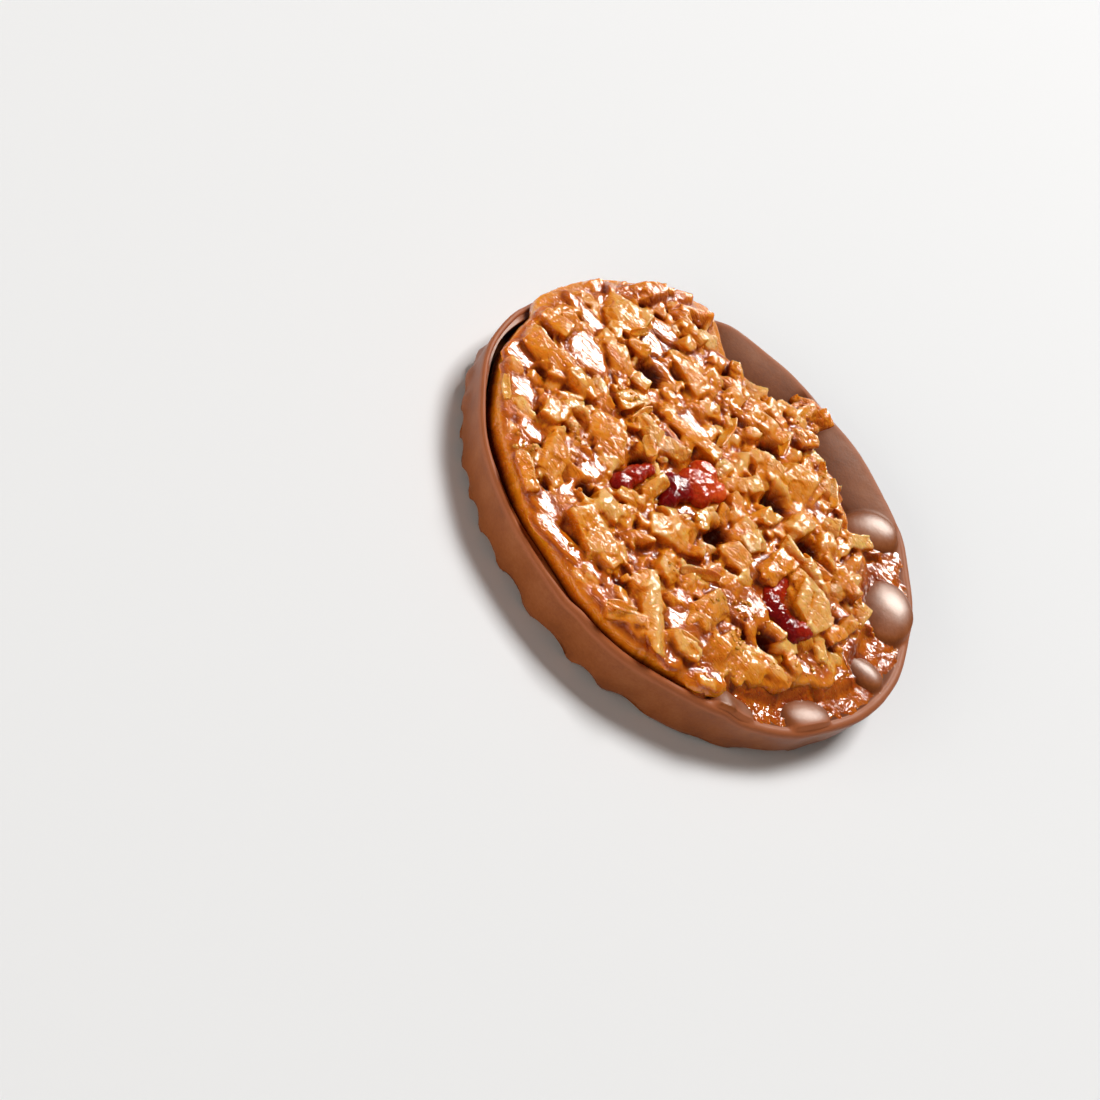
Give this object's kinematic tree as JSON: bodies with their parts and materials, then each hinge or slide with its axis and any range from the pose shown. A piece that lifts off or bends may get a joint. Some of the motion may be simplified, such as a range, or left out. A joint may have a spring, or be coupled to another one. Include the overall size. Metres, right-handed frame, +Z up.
{
  "type": "florentine cookie",
  "caption": "Round florentine cookie: a shallow milk-chocolate case with a combed underside, filled with glossy caramelised almond pieces and candied cherry.",
  "frame": {"origin": "middle of the underside, on the surface that the combed ridges rest on", "axes": "+Z up through the nut side, square to the disc; +X and +Y across it"},
  "size_m": [0.0622, 0.0613, 0.01],
  "materials": {
    "milk_chocolate": "smooth set milk chocolate with a soft satin sheen",
    "caramel_nut": "almond pieces glazed with hard glossy golden caramel",
    "candied_cherry": "glossy translucent red candied fruit"
  },
  "bodies": {
    "root": {"chocolate_case": "milk_chocolate", "nut_filling": "caramel_nut", "cherry_middle": "candied_cherry", "cherry_left": "candied_cherry", "cherry_right": "candied_cherry"}
  },
  "joints": []
}
